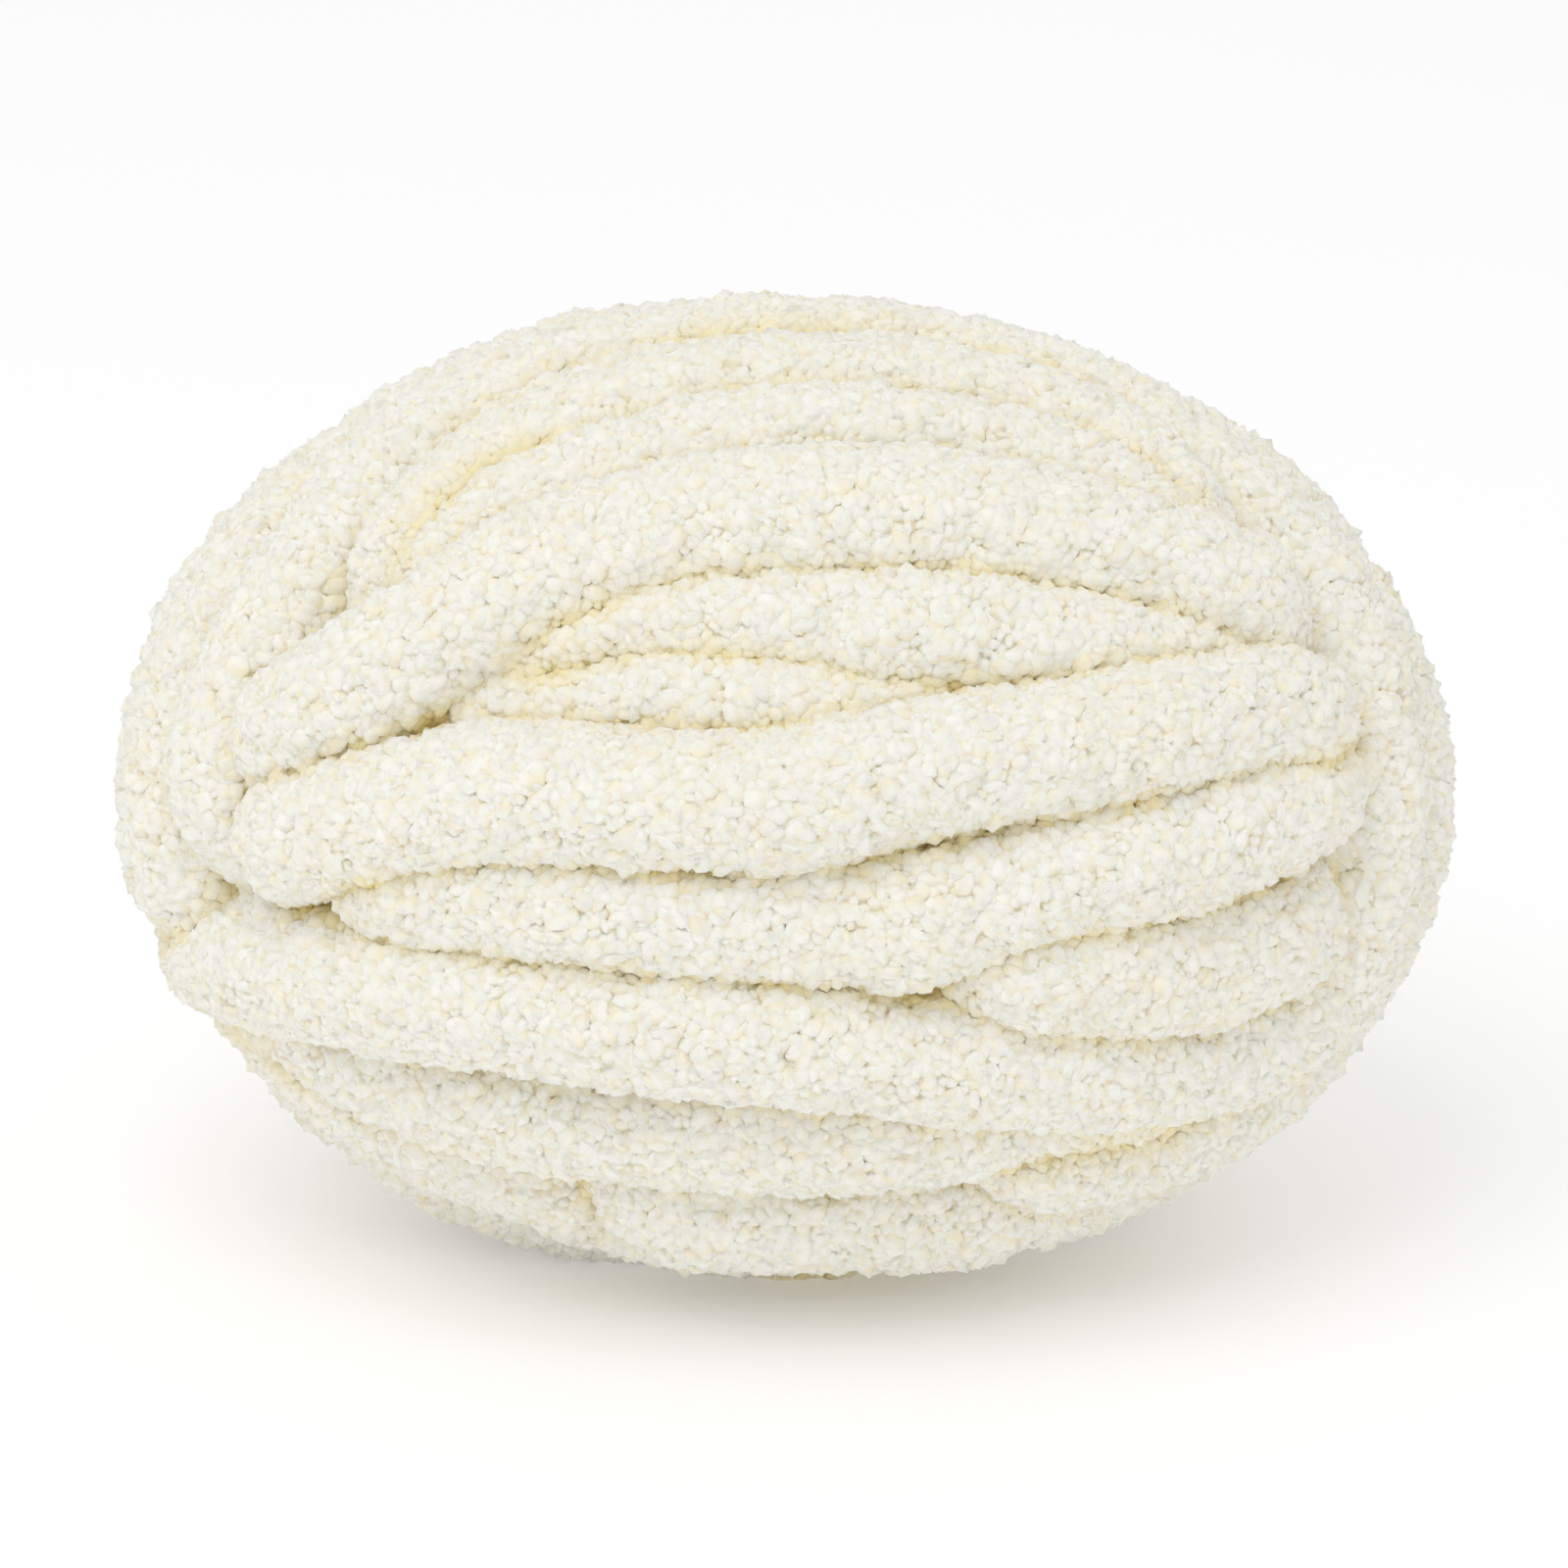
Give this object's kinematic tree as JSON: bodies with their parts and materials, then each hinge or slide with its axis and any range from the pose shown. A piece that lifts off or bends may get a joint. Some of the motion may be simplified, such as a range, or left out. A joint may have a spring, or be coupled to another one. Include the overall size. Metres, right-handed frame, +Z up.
{
  "type": "ball of yarn",
  "caption": "Oval ball of jumbo cream chenille yarn, wound lengthwise with turns crossing over at the rim and a small flat spot to rest on.",
  "frame": {"origin": "middle of the underside, on the resting surface, under the centre of the ball's box", "axes": "+X along the ball's length from pole to pole, +Z up, -Y towards the face with the long turns"},
  "size_m": [0.2224, 0.164, 0.1589],
  "materials": {
    "chenille_yarn": "matt fluffy cream chenille pile"
  },
  "bodies": {
    "root": {"yarn_ball": "chenille_yarn"}
  },
  "joints": []
}
